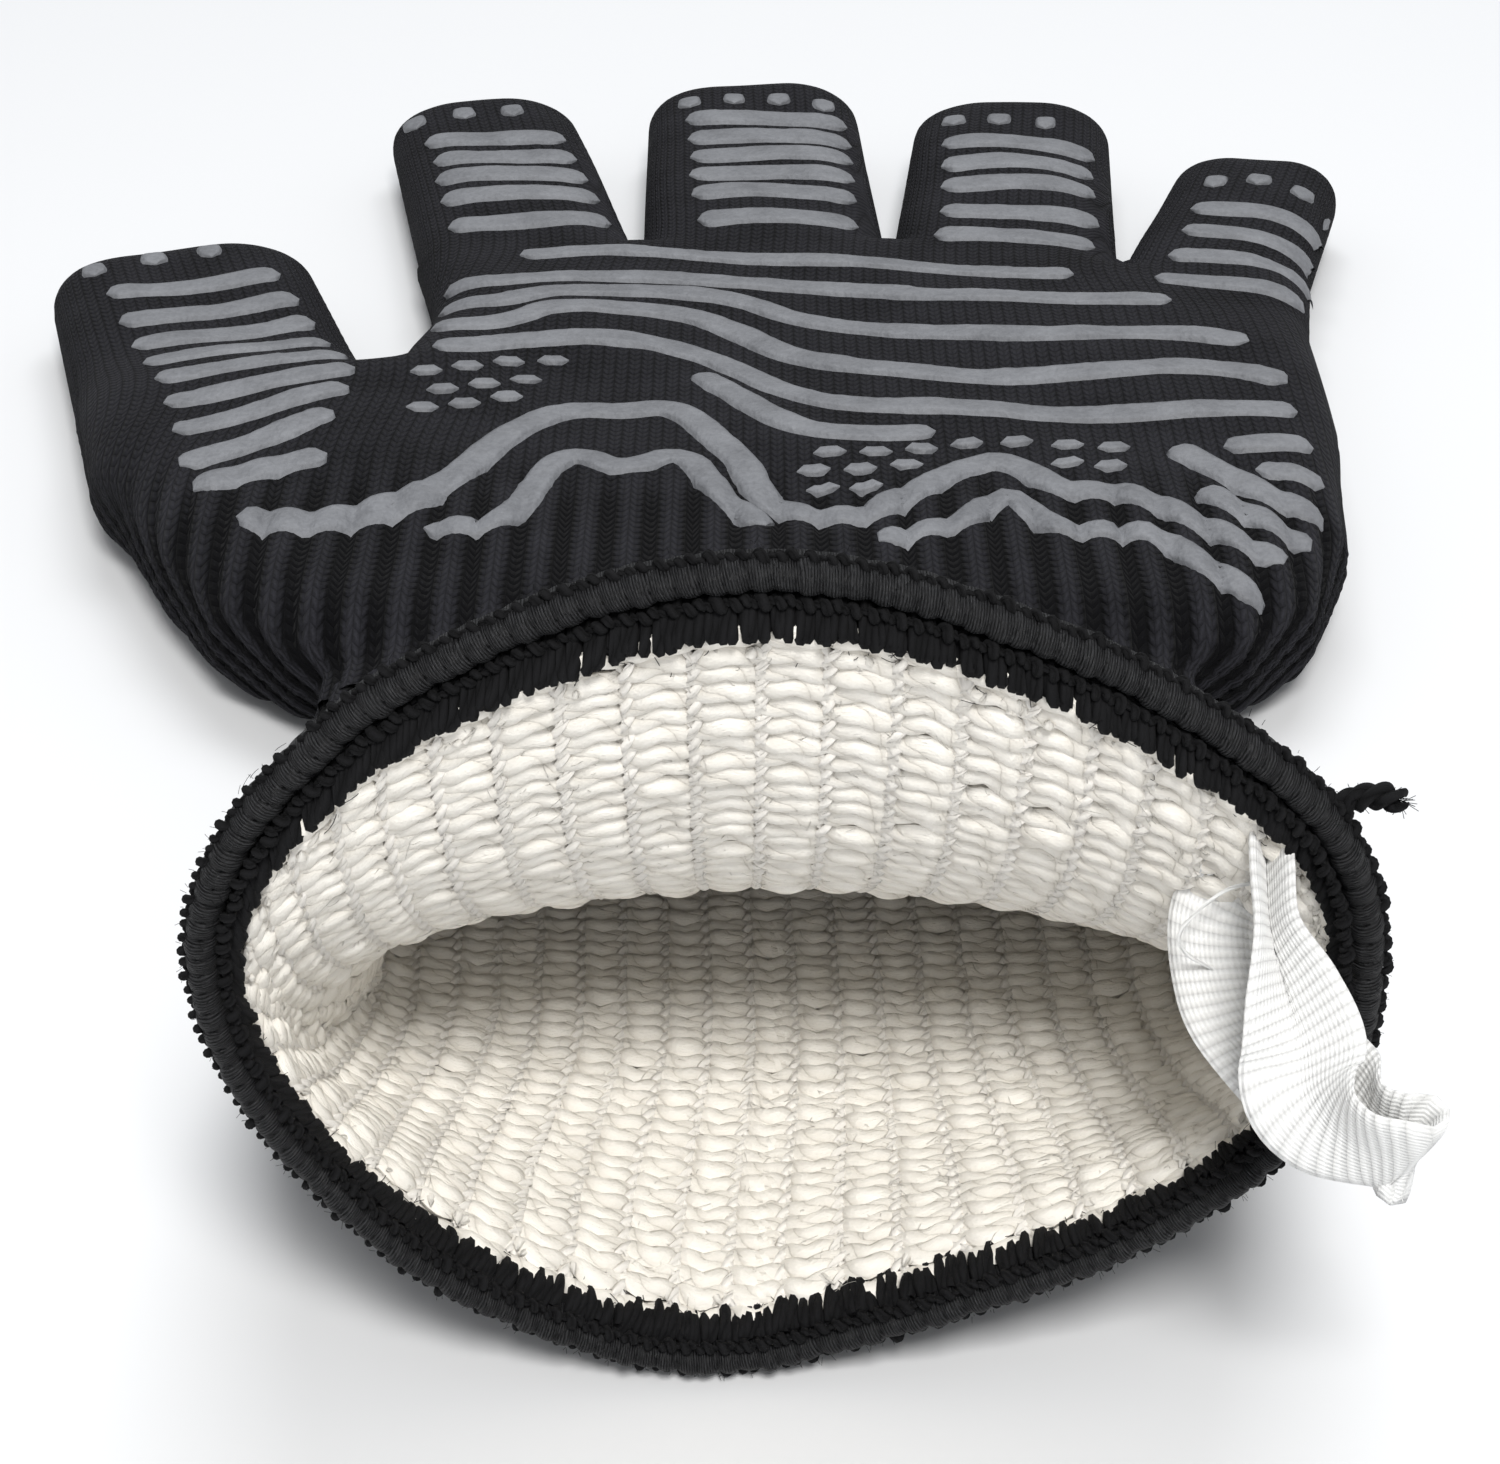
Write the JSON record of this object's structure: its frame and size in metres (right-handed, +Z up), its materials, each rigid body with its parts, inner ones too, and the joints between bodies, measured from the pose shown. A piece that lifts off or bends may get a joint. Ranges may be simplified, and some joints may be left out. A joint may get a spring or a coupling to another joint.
{
  "type": "heat resistant glove",
  "caption": "Knit heat resistant glove lying palm up with its cuff propped open, cotton liner, bound edge, hanging loop and raised silicone grip ribs.",
  "frame": {"origin": "bottom centre of the whole glove, on the surface it lies on", "axes": "+Y from the cuff opening to the fingertips, +Z up out of the palm, +X towards the little finger"},
  "size_m": [0.1834, 0.3186, 0.0799],
  "materials": {
    "aramid_knit": "fine black rib knit",
    "cotton_knit": "chunky natural cotton knit",
    "grip_silicone": "matte printed silicone",
    "binding_thread": "spun polyester overlock thread",
    "cotton_tape": "white twill tape",
    "tack_thread": "white sewing thread"
  },
  "bodies": {
    "cuff": {"cuff_shell": "aramid_knit", "cuff_liner": "cotton_knit", "edge_binding": "binding_thread", "outer_bead_row": "binding_thread", "inner_bead_row": "binding_thread", "inner_needle_stitches": "binding_thread", "thread_tail": "binding_thread", "loop_bar_tack": "tack_thread"},
    "loop": {"hanging_loop": "cotton_tape"},
    "palm": {"palm_grip_dashes": "grip_silicone", "palm_grip_ribs": "grip_silicone", "palm_liner": "cotton_knit", "palm_lower_ridge": "grip_silicone", "palm_shell": "aramid_knit", "palm_upper_ridge": "grip_silicone"},
    "thumb_base": {"thumb_base_grip_ribs": "grip_silicone", "thumb_base_liner": "cotton_knit", "thumb_base_shell": "aramid_knit"},
    "thumb_tip": {"thumb_tip_dots": "grip_silicone", "thumb_tip_grip_ribs": "grip_silicone", "thumb_tip_liner": "cotton_knit", "thumb_tip_shell": "aramid_knit"},
    "index_base": {"index_base_grip_ribs": "grip_silicone", "index_base_liner": "cotton_knit", "index_base_shell": "aramid_knit"},
    "index_tip": {"index_tip_dots": "grip_silicone", "index_tip_grip_ribs": "grip_silicone", "index_tip_liner": "cotton_knit", "index_tip_shell": "aramid_knit"},
    "middle_base": {"middle_base_grip_ribs": "grip_silicone", "middle_base_liner": "cotton_knit", "middle_base_shell": "aramid_knit"},
    "middle_tip": {"middle_tip_dots": "grip_silicone", "middle_tip_grip_ribs": "grip_silicone", "middle_tip_liner": "cotton_knit", "middle_tip_shell": "aramid_knit"},
    "ring_base": {"ring_base_grip_ribs": "grip_silicone", "ring_base_liner": "cotton_knit", "ring_base_shell": "aramid_knit"},
    "ring_tip": {"ring_tip_dots": "grip_silicone", "ring_tip_grip_ribs": "grip_silicone", "ring_tip_liner": "cotton_knit", "ring_tip_shell": "aramid_knit"},
    "little_base": {"little_base_grip_ribs": "grip_silicone", "little_base_liner": "cotton_knit", "little_base_shell": "aramid_knit"},
    "little_tip": {"little_tip_dots": "grip_silicone", "little_tip_grip_ribs": "grip_silicone", "little_tip_liner": "cotton_knit", "little_tip_shell": "aramid_knit"}
  },
  "joints": [
    {"name": "wrist_fold", "type": "hinge", "parent": "cuff", "child": "palm", "pos_m": [0.00309, -0.02878, 0.01697], "axis": [1, 0, 0], "range_deg": [0, 70]},
    {"name": "thumb_base_fold", "type": "hinge", "parent": "palm", "child": "thumb_base", "pos_m": [-0.06391, 0.04397, 0.01397], "axis": [0.96, 0.28, 0], "range_deg": [0, 60]},
    {"name": "thumb_tip_fold", "type": "hinge", "parent": "thumb_base", "child": "thumb_tip", "pos_m": [-0.07049, 0.06653, 0.01397], "axis": [0.96, 0.28, 0], "range_deg": [0, 60]},
    {"name": "index_base_fold", "type": "hinge", "parent": "palm", "child": "index_base", "pos_m": [-0.02866, 0.09072, 0.01397], "axis": [0.9823, 0.1871, 0], "range_deg": [0, 65]},
    {"name": "index_tip_fold", "type": "hinge", "parent": "index_base", "child": "index_tip", "pos_m": [-0.03446, 0.12118, 0.01397], "axis": [0.9823, 0.1871, 0], "range_deg": [0, 70]},
    {"name": "middle_base_fold", "type": "hinge", "parent": "palm", "child": "middle_base", "pos_m": [0.00509, 0.09422, 0.01397], "axis": [0.9996, 0.0278, 0], "range_deg": [0, 65]},
    {"name": "middle_tip_fold", "type": "hinge", "parent": "middle_base", "child": "middle_tip", "pos_m": [0.00419, 0.12671, 0.01397], "axis": [0.9996, 0.0278, 0], "range_deg": [0, 70]},
    {"name": "ring_base_fold", "type": "hinge", "parent": "palm", "child": "ring_base", "pos_m": [0.03969, 0.09322, 0.01397], "axis": [0.9959, -0.09, 0], "range_deg": [0, 65]},
    {"name": "ring_tip_fold", "type": "hinge", "parent": "ring_base", "child": "ring_tip", "pos_m": [0.0423, 0.12211, 0.01397], "axis": [0.9959, -0.09, 0], "range_deg": [0, 70]},
    {"name": "little_base_fold", "type": "hinge", "parent": "palm", "child": "little_base", "pos_m": [0.06844, 0.08212, 0.01397], "axis": [0.9587, -0.2843, 0], "range_deg": [0, 65]},
    {"name": "little_tip_fold", "type": "hinge", "parent": "little_base", "child": "little_tip", "pos_m": [0.07484, 0.10369, 0.01397], "axis": [0.9587, -0.2843, 0], "range_deg": [0, 70]},
    {"name": "loop_swing", "type": "hinge", "parent": "cuff", "child": "loop", "pos_m": [0.03509, -0.13028, 0.04377], "axis": [-0.9205, -0.3907, 0], "range_deg": [0, 30]}
  ]
}
